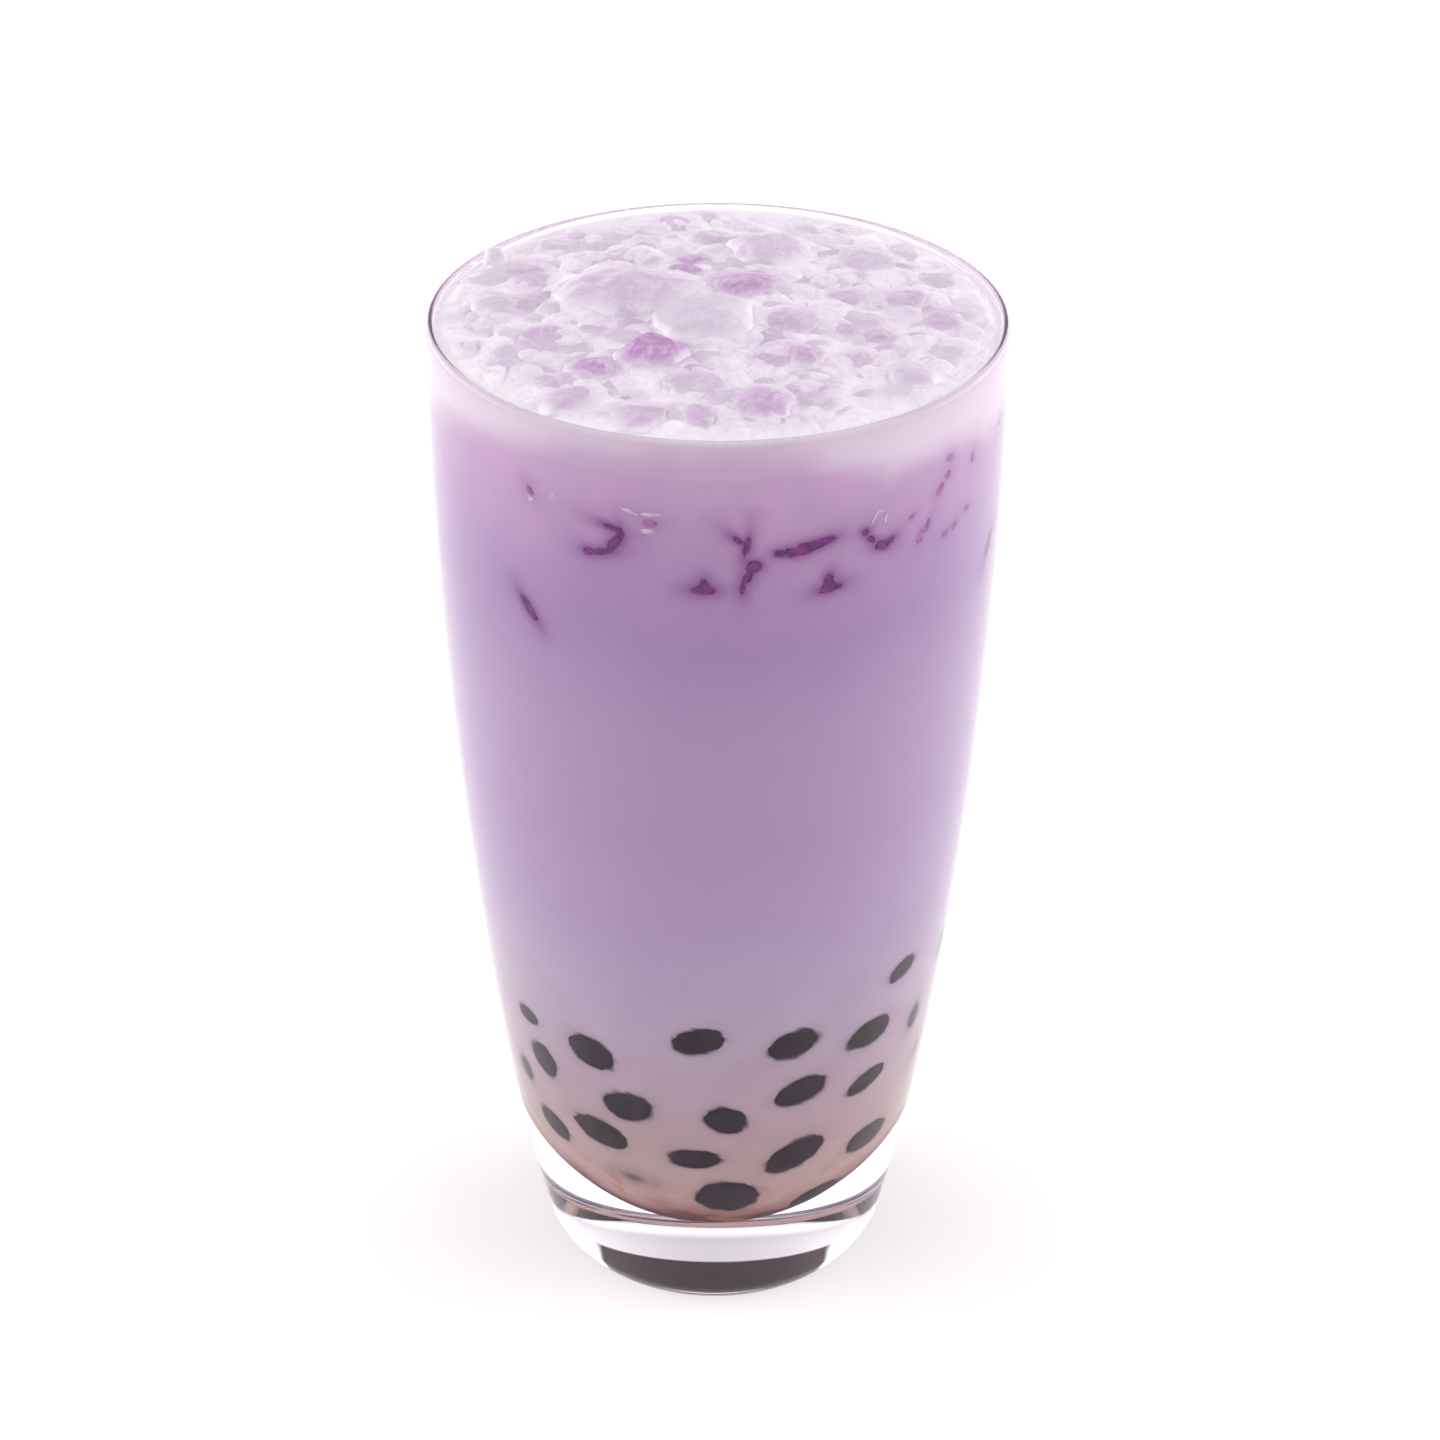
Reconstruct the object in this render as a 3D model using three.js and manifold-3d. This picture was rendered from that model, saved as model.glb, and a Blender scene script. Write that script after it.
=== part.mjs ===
// Taro bubble tea, filled to the brim of a heavy-based glass tumbler.
// Millimetres, +Z up. The origin is the middle of the foot, on the surface the glass stands on.
import * as THREE from 'three';
import { mergeVertices } from 'three/addons/utils/BufferGeometryUtils.js';
import Module from 'manifold-3d';

const wasm = await Module();
wasm.setup();

// Outside of the glass
const GLASS_HEIGHT = 155.7;
const BELLY_RADIUS = 40.15; // the widest place, a little under the rim
const BELLY_HEIGHT = 145.4;
const DRAW_IN = 0.325; // share of the radius that the side loses from belly to foot, as a parabola
const TUCK = 0.0286; // further share that it loses close to the foot
const TUCK_POWER = 8;
const HEEL_HEIGHT = 4; // where the side turns into the rounded heel
const HEEL_WIDTH = 3; // from the side in to the edge of the flat foot
const HEEL_FULLNESS = 0.35; // share of both that runs straight on before the turn

// Inside of the glass
const LIP_THICKNESS = 1.5;
const WALL_THICKNESS = 3.0;
const WALL_TAPER_LENGTH = 60; // the wall thickens from the lip down over this length
const BASE_THICKNESS = 9.4; // solid glass under the middle of the bowl
const BOWL_DEPTH = 42; // height of the rounded lower end of the inside

// Contents
const GAP = 0.3; // clearance between neighbouring solids
const BRIM_SPACE = 0.8; // from the rim down to the edge of the ice and froth
const FROTH_DEPTH = 5; // thickness of the ice and froth layer at the wall
const FROTH_CROWN = 1.2; // how much its middle stands above its edge
const SYRUP_DEPTH = 1.9; // brown sugar syrup in the bottom of the bowl

const SIDES = 48;
const HEEL_STEPS = 6;
const SIDE_STEPS = 14;
const LIP_STEPS = 4;
const WALL_STEPS = 8;
const BOWL_STEPS = 9;

// Ice pieces that stand out of the froth: place, length, width, turn in degrees, height above the froth
const CROWNING_ICE = [
  { x: -12.4, y: 3.0, length: 18, width: 14, turn: 8, rise: 4.0 },
  { x: -1.1, y: -5.6, length: 13.3, width: 13, turn: -20, rise: 3.5 },
  { x: -8.3, y: -17, length: 8.4, width: 6.5, turn: 12, rise: 3.0 },
  { x: 3.6, y: 6, length: 10, width: 7.5, turn: -8, rise: 2.0 },
  { x: 7.6, y: 18.5, length: 10.5, width: 9.5, turn: 30, rise: 2.4 },
  { x: -3.5, y: 15, length: 4.8, width: 3.4, turn: 5, rise: 1.0 },
  { x: -4.8, y: 11, length: 5.0, width: 3.2, turn: -10, rise: 1.0 },
  { x: 11.3, y: -16.2, length: 6.2, width: 4.6, turn: 80, rise: 1.5 },
  { x: 5.7, y: -30.6, length: 8.4, width: 6.9, turn: 75, rise: 1.8 },
  { x: -2.2, y: -33.4, length: 5.2, width: 3.8, turn: 70, rise: 1.2 },
  { x: -9.5, y: -32.3, length: 6.8, width: 5.8, turn: 15, rise: 1.5 },
  { x: -18.3, y: -27.8, length: 7.2, width: 5.8, turn: 35, rise: 1.4 },
  { x: -16.3, y: -19.5, length: 7.0, width: 4.0, turn: -12, rise: 0.9 },
  { x: 21.7, y: -9.5, length: 4.2, width: 3.9, turn: 0, rise: 1.0 },
  { x: 25.8, y: 2.5, length: 5.6, width: 4.8, turn: 20, rise: 1.3 },
  { x: 31.2, y: -4.3, length: 5.6, width: 4.4, turn: -15, rise: 1.2 },
  { x: 25.6, y: -20.4, length: 6.6, width: 5.8, turn: 50, rise: 1.5 },
  { x: -30.9, y: 18.9, length: 3.2, width: 2.6, turn: 60, rise: 3.4 },
];

// Smaller ice between them, spread along a spiral from the middle to the wall
const SMALL_ICE = { count: 54, least: 3.8, most: 8.6, reach: 34.2, rise: 1.0, seed: 11 };

function material(color, roughness, opacity = 1) {
  return new THREE.MeshStandardMaterial({
    color, roughness, metalness: 0, opacity, transparent: opacity < 1,
  });
}

function seededRandom(seed) {
  let state = seed;
  return () => {
    state = (state + 0x6d2b79f5) | 0;
    let mixed = Math.imul(state ^ (state >>> 15), 1 | state);
    mixed = (mixed + Math.imul(mixed ^ (mixed >>> 7), 61 | mixed)) ^ mixed;
    return ((mixed ^ (mixed >>> 14)) >>> 0) / 4294967296;
  };
}

// Shares vertices between faces and drops faces that have shrunk to a line at the axis
function weld(geometry) {
  for (const name of ['normal', 'uv']) geometry.deleteAttribute(name);
  const welded = mergeVertices(geometry, 1e-4);
  const kept = [];
  const corners = welded.index.array;
  for (let i = 0; i < corners.length; i += 3) {
    const [a, b, c] = corners.slice(i, i + 3);
    if (a !== b && b !== c && c !== a) kept.push(a, b, c);
  }
  welded.setIndex(kept);
  return welded;
}

// Turns a profile of [radius, height] pairs, listed bottom outside first, into a closed body
function turned(profile) {
  const points = profile.map(([radius, height]) => new THREE.Vector2(radius, height));
  return weld(new THREE.LatheGeometry(points, SIDES).rotateX(Math.PI / 2));
}

function toSolid(geometry) {
  return new wasm.Manifold(new wasm.Mesh({
    numProp: 3,
    vertProperties: new Float32Array(geometry.attributes.position.array),
    triVerts: new Uint32Array(geometry.index.array),
  }));
}

function toGeometry(solid) {
  const mesh = solid.getMesh();
  const geometry = new THREE.BufferGeometry();
  geometry.setAttribute('position', new THREE.BufferAttribute(mesh.vertProperties, 3));
  geometry.setIndex(new THREE.BufferAttribute(mesh.triVerts, 1));
  return geometry;
}

function outerRadius(height) {
  const down = (BELLY_HEIGHT - height) / BELLY_HEIGHT;
  return BELLY_RADIUS * (1 - DRAW_IN * down ** 2 - TUCK * Math.max(down, 0) ** TUCK_POWER);
}

function outerSlope(height) {
  const step = 0.01;
  return (outerRadius(height + step) - outerRadius(height - step)) / (2 * step);
}

// The inside follows the outside at the wall's thickness and ends in an elliptical bowl
function innerRadius(height) {
  const thickening = Math.min(1, (GLASS_HEIGHT - height) / WALL_TAPER_LENGTH);
  const wall = LIP_THICKNESS + (WALL_THICKNESS - LIP_THICKNESS) * thickening;
  const below = Math.max(0, 1 - (height - BASE_THICKNESS) / BOWL_DEPTH);
  return (outerRadius(height) - wall) * Math.sqrt(1 - below ** 2);
}

function steps(count, place) {
  return Array.from({ length: count + 1 }, (_, i) => place(i / count));
}

function heelProfile() {
  const wall = outerRadius(HEEL_HEIGHT);
  const foot = wall - HEEL_WIDTH;
  const drop = HEEL_HEIGHT * HEEL_FULLNESS;
  const turn = new THREE.CubicBezierCurve(
    new THREE.Vector2(foot, 0),
    new THREE.Vector2(foot + HEEL_WIDTH * HEEL_FULLNESS, 0),
    new THREE.Vector2(wall - outerSlope(HEEL_HEIGHT) * drop, HEEL_HEIGHT - drop),
    new THREE.Vector2(wall, HEEL_HEIGHT),
  );
  return turn.getPoints(HEEL_STEPS).map((point) => [point.x, point.y]);
}

function lipProfile() {
  const round = LIP_THICKNESS / 2;
  const centre = GLASS_HEIGHT - round;
  const middle = outerRadius(centre) - round;
  return steps(LIP_STEPS, (share) => {
    const angle = Math.PI * share;
    return [middle + round * Math.cos(angle), centre + round * Math.sin(angle)];
  });
}

// Heights up the bowl, close together where it is nearly level, and the radius of the glass there
function bowlProfile(lift, inset, lowest, steepest) {
  return steps(BOWL_STEPS, (share) => {
    const angle = lowest + (steepest - lowest) * share;
    const height = BASE_THICKNESS + BOWL_DEPTH * (1 - Math.cos(angle));
    return [Math.max(0, innerRadius(height) - inset), height + lift];
  });
}

function bowlAngle(height) {
  return Math.acos(1 - (height - BASE_THICKNESS) / BOWL_DEPTH);
}

function glass() {
  const bowlTop = BASE_THICKNESS + BOWL_DEPTH;
  const wallTop = GLASS_HEIGHT - LIP_THICKNESS / 2;
  const side = steps(SIDE_STEPS, (share) => {
    const height = HEEL_HEIGHT + (wallTop - HEEL_HEIGHT) * share;
    return [outerRadius(height), height];
  });
  const wall = steps(WALL_STEPS, (share) => {
    const height = wallTop + (bowlTop - wallTop) * share;
    return [innerRadius(height), height];
  });
  const bowl = bowlProfile(0, 0, 0, Math.PI / 2).reverse();
  return turned([
    [0, 0], ...heelProfile(), ...side.slice(1, -1),
    ...lipProfile(), ...wall.slice(1, -1), ...bowl,
  ]);
}

const frothEdge = GLASS_HEIGHT - BRIM_SPACE;
const frothBottom = frothEdge - FROTH_DEPTH;
const syrupTop = BASE_THICKNESS + GAP + SYRUP_DEPTH;

function syrup() {
  const bowl = bowlProfile(GAP, GAP, 0, bowlAngle(syrupTop - GAP));
  return turned([...bowl, [0, syrupTop]]);
}

function drink() {
  const bottom = syrupTop + GAP;
  const top = frothBottom - GAP;
  const bowlTop = BASE_THICKNESS + BOWL_DEPTH;
  const bowl = bowlProfile(GAP, GAP, bowlAngle(bottom - GAP), Math.PI / 2);
  const wall = steps(WALL_STEPS, (share) => {
    const height = bowlTop + GAP + (top - bowlTop - GAP) * share;
    return [innerRadius(height) - GAP, height];
  });
  return turned([[0, bottom], ...bowl, ...wall.slice(1), [0, top]]);
}

function frothHeight(radius) {
  const edge = innerRadius(frothEdge) - GAP;
  return frothEdge + FROTH_CROWN * (1 - (radius / edge) ** 2);
}

function frothCore() {
  const edge = innerRadius(frothEdge) - GAP;
  const crown = steps(3, (share) => [edge * (1 - share), frothHeight(edge * (1 - share))]);
  return turned([[0, frothBottom], [innerRadius(frothBottom) - GAP, frothBottom], ...crown]);
}

// One broken lump of ice: an uneven ball, long and wide as given, that shows by its rise
function icePiece({ x, y, length, width, turn, rise }, detail, random) {
  const lump = weld(new THREE.IcosahedronGeometry(1, detail));
  const corner = new THREE.Vector3();
  const place = lump.attributes.position;
  for (let i = 0; i < place.count; i += 1) {
    corner.fromBufferAttribute(place, i).multiplyScalar(0.86 + 0.16 * random());
    place.setXYZ(i, corner.x, corner.y, corner.z);
  }
  const sunk = Math.min(width / 2, FROTH_DEPTH - 1);
  const halfHeight = (rise + sunk) / 2;
  return toSolid(lump
    .scale(length / 2, width / 2, halfHeight)
    .rotateZ(THREE.MathUtils.degToRad(turn))
    .translate(x, y, frothHeight(Math.hypot(x, y)) + rise - halfHeight));
}

function smallIce(random) {
  const turnStep = Math.PI * (3 - Math.sqrt(5));
  return Array.from({ length: SMALL_ICE.count }, (_, i) => {
    const radius = SMALL_ICE.reach * Math.sqrt((i + 0.6) / SMALL_ICE.count);
    const angle = i * turnStep + 0.5 * random();
    const length = SMALL_ICE.least + (SMALL_ICE.most - SMALL_ICE.least) * random() ** 2;
    return {
      x: radius * Math.cos(angle),
      y: radius * Math.sin(angle),
      length: Math.min(length, 2 * (SMALL_ICE.reach + 2.4 - radius)),
      width: length * (0.6 + 0.3 * random()),
      turn: 180 * random(),
      rise: SMALL_ICE.rise * (0.5 + random()),
    };
  });
}

function crushedIce() {
  const random = seededRandom(SMALL_ICE.seed);
  const pieces = [toSolid(frothCore())];
  for (const piece of CROWNING_ICE) pieces.push(icePiece(piece, 1, random));
  for (const piece of smallIce(random)) pieces.push(icePiece(piece, 0, random));
  return toGeometry(wasm.Manifold.union(pieces));
}

const drinkInGlass = new THREE.Group();
const pieces = [
  ['glass', glass(), material(0xf2f0f4, 0.02, 0.25)],
  ['brown_sugar_syrup', syrup(), material(0x4a2420, 0.2)],
  ['taro_milk_tea', drink(), material(0xab90b9, 0.4)],
  ['crushed_ice_and_froth', crushedIce(), material(0xe6d9ea, 0.3)],
];
for (const [name, geometry, finish] of pieces) {
  const mesh = new THREE.Mesh(geometry, finish);
  mesh.name = name;
  drinkInGlass.add(mesh);
}

export default drinkInGlass;
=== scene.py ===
import math
import random

import bpy
import numpy as np
from mathutils import Matrix, Vector, noise


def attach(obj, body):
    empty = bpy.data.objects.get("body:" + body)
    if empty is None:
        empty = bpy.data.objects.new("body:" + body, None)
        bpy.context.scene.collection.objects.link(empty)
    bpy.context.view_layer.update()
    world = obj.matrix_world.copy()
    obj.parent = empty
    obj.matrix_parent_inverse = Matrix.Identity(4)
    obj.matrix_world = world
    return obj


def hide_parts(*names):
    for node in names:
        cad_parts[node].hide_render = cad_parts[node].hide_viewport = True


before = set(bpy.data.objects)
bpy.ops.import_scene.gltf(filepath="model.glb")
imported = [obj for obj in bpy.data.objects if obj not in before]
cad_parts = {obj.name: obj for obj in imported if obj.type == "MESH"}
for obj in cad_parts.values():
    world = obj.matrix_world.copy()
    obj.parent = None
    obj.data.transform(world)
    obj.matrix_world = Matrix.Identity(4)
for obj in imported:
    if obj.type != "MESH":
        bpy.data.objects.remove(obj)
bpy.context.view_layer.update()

# The tumbler: one piece of clear pressed glass with a barrel side, a thin rounded lip and a heavy
# base with a rounded heel. Its half section, outside, lip and bowl, is drawn point by point and
# spun once round.
GLASS_HEIGHT = 0.1557
BELLY_RADIUS = 0.04015
BELLY_HEIGHT = 0.1454
DRAW_IN = 0.325
TUCK = 0.0286
TUCK_POWER = 8
HEEL_HEIGHT = 0.004
HEEL_WIDTH = 0.003
HEEL_FULLNESS = 0.35
LIP_THICKNESS = 0.0015
WALL_THICKNESS = 0.003
WALL_TAPER_LENGTH = 0.06
BASE_THICKNESS = 0.0094
BOWL_DEPTH = 0.042
GLASS_SEGMENTS = 160
HEEL_POINTS, SIDE_RINGS, LIP_POINTS, WALL_RINGS, BOWL_RINGS = 22, 64, 10, 44, 40
SMOOTH_BELOW = 40


def outer_radius(height):
    down = (BELLY_HEIGHT - height) / BELLY_HEIGHT
    return BELLY_RADIUS * (1 - DRAW_IN * down**2 - TUCK * max(down, 0) ** TUCK_POWER)


def bowl_radius(height):
    taper = min(1, (GLASS_HEIGHT - height) / WALL_TAPER_LENGTH)
    wall = LIP_THICKNESS + (WALL_THICKNESS - LIP_THICKNESS) * taper
    below = min(1, max(0, 1 - (height - BASE_THICKNESS) / BOWL_DEPTH))
    return (outer_radius(height) - wall) * math.sqrt(1 - below**2)


def steps_between(start, end, count):
    """Numbers from start to end, without start."""
    return [start + (end - start) * i / count for i in range(1, count + 1)]


def spun(name, section, segments):
    """Draws a half section point by point, as radius and height, and spins it closed."""
    bpy.ops.object.select_all(action="DESELECT")
    bpy.ops.mesh.primitive_plane_add(size=0.001)
    piece = bpy.context.object
    piece.name = piece.data.name = name
    bpy.ops.object.mode_set(mode="EDIT")
    bpy.ops.mesh.merge(type="CENTER")
    pen = Vector((section[0][0], 0, section[0][1]))
    bpy.ops.transform.translate(value=pen)
    for radius, height in section[1:]:
        step = Vector((radius, 0, height)) - pen
        bpy.ops.mesh.extrude_vertices_move(TRANSFORM_OT_translate={"value": step})
        pen += step
    bpy.ops.mesh.select_all(action="SELECT")
    bpy.ops.mesh.spin(steps=segments, angle=2 * math.pi, center=(0, 0, 0), axis=(0, 0, 1))
    bpy.ops.mesh.select_all(action="SELECT")
    bpy.ops.mesh.remove_doubles(threshold=1e-6)
    bpy.ops.mesh.normals_make_consistent(inside=False)
    bpy.ops.object.mode_set(mode="OBJECT")
    bpy.ops.object.shade_smooth_by_angle(angle=math.radians(SMOOTH_BELOW))
    return piece


def heel_section(count):
    """The rounded heel, one curve that leaves the foot level and meets the side at its slope."""
    down = (BELLY_HEIGHT - HEEL_HEIGHT) / BELLY_HEIGHT
    slope = 2 * DRAW_IN * down + TUCK_POWER * TUCK * down ** (TUCK_POWER - 1)
    slope *= BELLY_RADIUS / BELLY_HEIGHT
    side = outer_radius(HEEL_HEIGHT)
    foot = side - HEEL_WIDTH
    drop = HEEL_HEIGHT * HEEL_FULLNESS
    handles = [
        Vector((foot, 0)),
        Vector((foot + HEEL_WIDTH * HEEL_FULLNESS, 0)),
        Vector((side - slope * drop, HEEL_HEIGHT - drop)),
        Vector((side, HEEL_HEIGHT)),
    ]
    points = []
    for i in range(count + 1):
        t = i / count
        weights = [(1 - t) ** 3, 3 * t * (1 - t) ** 2, 3 * t * t * (1 - t), t**3]
        points.append(sum((h * w for h, w in zip(handles, weights)), Vector((0, 0))))
    return [tuple(p) for p in points]


lip_radius = LIP_THICKNESS / 2
lip_height = GLASS_HEIGHT - lip_radius
lip_middle = outer_radius(lip_height) - lip_radius
bowl_start = BASE_THICKNESS + BOWL_DEPTH
glass_section = [(0, 0)] + heel_section(HEEL_POINTS)
side_heights = steps_between(HEEL_HEIGHT, lip_height, SIDE_RINGS)
glass_section += [(outer_radius(h), h) for h in side_heights]
for i in range(1, LIP_POINTS):
    turn = math.pi * i / LIP_POINTS
    across, above = lip_radius * math.cos(turn), lip_radius * math.sin(turn)
    glass_section.append((lip_middle + across, lip_height + above))
wall_heights = [lip_height] + steps_between(lip_height, bowl_start, WALL_RINGS)
glass_section += [(bowl_radius(h), h) for h in wall_heights]
for i in range(1, BOWL_RINGS):
    height = BASE_THICKNESS + BOWL_DEPTH * (1 - i / BOWL_RINGS) ** 2
    glass_section.append((bowl_radius(height), height))
glass_section.append((0, BASE_THICKNESS))
tumbler = spun("tumbler", glass_section, GLASS_SEGMENTS)


def new_material(name, colour, roughness):
    """A material with its Principled shader, for nodes to be added to."""
    material = bpy.data.materials.new(name)
    material.use_nodes = True
    shader = material.node_tree.nodes["Principled BSDF"]
    shader.inputs["Base Color"].default_value = (*colour, 1)
    shader.inputs["Roughness"].default_value = roughness
    return material, material.node_tree, shader


def add_node(tree, kind, inputs, **settings):
    """Adds a shader node with its settings, and sets each input or links it to another node."""
    node = tree.nodes.new("ShaderNode" + kind)
    for setting, value in settings.items():
        setattr(node, setting, value)
    for key, value in inputs.items():
        if isinstance(value, bpy.types.NodeSocket):
            tree.links.new(value, node.inputs[key])
        elif node.inputs[key].type == "RGBA":
            node.inputs[key].default_value = (*value, 1)
        else:
            node.inputs[key].default_value = value
    return node


# the cold drink mists the outside of the wall, and the heavy base stays clear
GLASS_COLOUR = (0.93, 0.915, 0.94)
GLASS_INDEX = 1.5
GLOSS_TINT = (0.42, 0.30, 0.40)
DEW_ROUGHNESS = 0.5
BASE_SHADOW = (0.12, 0.115, 0.12)
WALL_SHADOW = (0.86, 0.83, 0.86)
# dew by band: from which height up, and how much; it thins towards the foot
DEW_BANDS = [
    (0.017, 0.02), (0.037, 0.05), (0.055, 0.07), (0.075, 0.10), (0.095, 0.15), (0.115, 0.17),
]
DEW_TOP = 0.1548


def glass_finish(name, mist, shadow):
    """Clear glass with a mist of fine dew on it, and the colour of the light it lets through."""
    finish, tree, shader = new_material(name, GLASS_COLOUR, 0.0)
    shader.inputs["Transmission Weight"].default_value = 1.0
    shader.inputs["IOR"].default_value = GLASS_INDEX
    shader.inputs["Sheen Weight"].default_value = mist
    shader.inputs["Sheen Roughness"].default_value = DEW_ROUGHNESS
    shader.inputs["Specular Tint"].default_value = (*GLOSS_TINT, 1)
    to_light = add_node(tree, "LightPath", {}).outputs["Is Shadow Ray"]
    see_through = add_node(tree, "BsdfTransparent", {"Color": shadow}).outputs["BSDF"]
    solid = shader.outputs["BSDF"]
    both = add_node(tree, "MixShader", {0: to_light, 1: solid, 2: see_through})
    surface = tree.nodes["Material Output"].inputs["Surface"]
    tree.links.new(both.outputs["Shader"], surface)
    return finish


tumbler.data.materials.append(glass_finish("clear_glass", 0.0, BASE_SHADOW))
for band, (band_bottom, mist) in enumerate(DEW_BANDS):
    tumbler.data.materials.append(glass_finish(f"misted_glass_{band + 1}", mist, WALL_SHADOW))
for face in tumbler.data.polygons:
    outward = face.normal.x * face.center.x + face.normal.y * face.center.y > 0
    if outward and face.center.z < DEW_TOP:
        face.material_index = sum(face.center.z > band_bottom for band_bottom, mist in DEW_BANDS)
tumbler.visible_diffuse = False
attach(tumbler, "root")
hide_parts("glass")

# Brown sugar syrup: a thin dark pool that has sunk to the bottom of the bowl. It is spun from the
# bowl's own curve, a hair into the wall so that no air shows between them.
WALL_OVERLAP = 0.00005
SYRUP_TOP = BASE_THICKNESS + 0.0022
SYRUP_RINGS = 8
DRINK_SEGMENTS = 288


def ramp(tree, value, stops):
    """Colours by a value from 0 to 1, with a stop at each place."""
    node = add_node(tree, "ValToRGB", {"Fac": value})
    elements = node.color_ramp.elements
    while len(elements) < len(stops):
        elements.new(0.5)
    for element, (at, colour) in zip(elements, stops):
        element.position = at
        element.color = (*colour, 1)
    return node.outputs["Color"]


def mottle(tree, scale, detail, stops):
    """Clouds the material's colour between the stops."""
    place = add_node(tree, "TexCoord", {}).outputs["Object"]
    clouds = add_node(tree, "TexNoise", {"Vector": place, "Scale": scale, "Detail": detail})
    colour = ramp(tree, clouds.outputs["Fac"], stops)
    tree.links.new(colour, tree.nodes["Principled BSDF"].inputs["Base Color"])


syrup_section = [(0, BASE_THICKNESS - WALL_OVERLAP)]
for i in range(1, SYRUP_RINGS + 1):
    height = BASE_THICKNESS + (SYRUP_TOP - BASE_THICKNESS) * (i / SYRUP_RINGS) ** 2
    syrup_section.append((bowl_radius(height) + WALL_OVERLAP, height))
syrup_section.append((0, SYRUP_TOP))
syrup = spun("syrup_pool", syrup_section, DRINK_SEGMENTS)
brown_syrup, tree, shader = new_material("brown_syrup", (0.10, 0.028, 0.022), 0.25)
shader.inputs["Specular IOR Level"].default_value = 0.1
mottle(tree, 190, 3, [(0.35, (0.085, 0.022, 0.018)), (0.7, (0.24, 0.085, 0.06))])
syrup.data.materials.append(brown_syrup)
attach(syrup, "root")
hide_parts("brown_sugar_syrup")

# Tapioca pearls: chewy dark balls soaked in syrup, 7 to 10 mm across. Each is a ball squeezed out
# of round, with the face that is pressed against the bowl flattened to the wall.

# the patch that touches: degrees round from the front, height, length, width, turn, and how far
# behind the wall it hangs back in the milk
PEARLS_IN_FRONT = [
    (52.7, 0.0610, 0.0057, 0.0033, 15, 0), (43.1, 0.0517, 0.0078, 0.0050, 6, 0),
    (20.2, 0.0547, 0.0074, 0.0051, 18, 0), (-4.0, 0.0566, 0.0072, 0.0048, 20, 0),
    (-33.5, 0.0503, 0.0072, 0.0059, -10, 0), (-55.7, 0.0507, 0.0044, 0.0028, 0, 0),
    (-52.1, 0.0433, 0.0063, 0.0051, 86, 0), (45.6, 0.0415, 0.0066, 0.0042, 16, 0),
    (23.6, 0.0447, 0.0076, 0.0053, 19, 0), (-24.1, 0.0410, 0.0075, 0.0060, 34, 0),
    (-59.2, 0.0281, 0.0065, 0.0052, 80, 0), (3.1, 0.0403, 0.0064, 0.0054, -60, 0),
    (-35.9, 0.0328, 0.0079, 0.0067, -4, 0), (57.9, 0.0263, 0.0084, 0.0061, -34, 0),
    (25.9, 0.0299, 0.0092, 0.0070, 56, 0), (-6.1, 0.0311, 0.0070, 0.0050, 5, 0),
    (54.4, 0.0155, 0.0081, 0.0061, -55, 0), (5.3, 0.0207, 0.0108, 0.0076, -81, 0),
    (63.2, 0.0482, 0.0060, 0.0040, 84, 0.0005), (-65.4, 0.0369, 0.0060, 0.0040, 80, 0.0004),
    (72.6, 0.0385, 0.0060, 0.0045, 80, 0.0008), (-29.7, 0.0233, 0.0070, 0.0050, 0, 0.0009),
    (76.8, 0.0570, 0.0060, 0.0050, 60, 0.0005),
]
# the rows behind: height, and how many pearls are in it
PEARL_ROWS_BEHIND = [(0.0196, 6), (0.0301, 8), (0.0406, 9), (0.0511, 7), (0.0596, 4)]
STRAY_DEGREES, STRAY_HEIGHT, STRAY_TURN = 7, 0.0035, 40
PEARL_LENGTHS, PEARL_WIDTHS, PEARL_DEPTHS = (0.0062, 0.0085), (0.0045, 0.0062), [0, 0, 0, 0.0006]
PEARL_THINNEST, PEARL_THICKEST = 0.0032, 0.0045
PRESSED_SHARE = 0.85
PEARL_STANDS_IN_WALL = 0.00012
# dents and bulges: how much of the radius, their size on a ball of radius 1, and a seed
PEARL_LUMPS = [(0.08, 0.9, 0), (0.10, 0.30, 40)]


def wall_place(degrees, height):
    """A place on the bowl's wall with its directions sideways, up the wall and into the glass."""
    turn = math.radians(degrees)
    outward = Vector((math.sin(turn), -math.cos(turn), 0))
    sideways = Vector((math.cos(turn), math.sin(turn), 0))
    reach = 0.0002
    slope = (bowl_radius(height + reach) - bowl_radius(height - reach)) / (2 * reach)
    up = (outward * slope + Vector((0, 0, 1))).normalized()
    return outward * bowl_radius(height) + Vector((0, 0, height)), sideways, up, sideways.cross(up)


def turned(sideways, up, degrees):
    """The directions along and across a thing that lies turned on the wall."""
    lean = math.radians(degrees)
    along = sideways * math.cos(lean) + up * math.sin(lean)
    return along, up * math.cos(lean) - sideways * math.sin(lean)


draw = random.Random(5)
pearls = list(PEARLS_IN_FRONT)
for height, count in PEARL_ROWS_BEHIND:
    for i in range(count):
        degrees = 90 + 180 * (i + 0.5) / count + draw.uniform(-STRAY_DEGREES, STRAY_DEGREES)
        pearls.append((
            degrees, height + draw.uniform(-STRAY_HEIGHT, STRAY_HEIGHT),
            draw.uniform(*PEARL_LENGTHS), draw.uniform(*PEARL_WIDTHS),
            draw.uniform(-STRAY_TURN, STRAY_TURN), draw.choice(PEARL_DEPTHS),
        ))


def pressed_to_wall(coords, stands_in):
    """Moves what would pass through the bowl's wall back to it, as the glass flattens it."""
    radius = np.hypot(coords[:, 0], coords[:, 1])
    limit = np.array([bowl_radius(max(BASE_THICKNESS, h)) for h in coords[:, 2]]) + stands_in
    shrink = np.minimum(1, limit / np.maximum(radius, 1e-9))
    coords[:, 0] *= shrink
    coords[:, 1] *= shrink
    return coords


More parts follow.
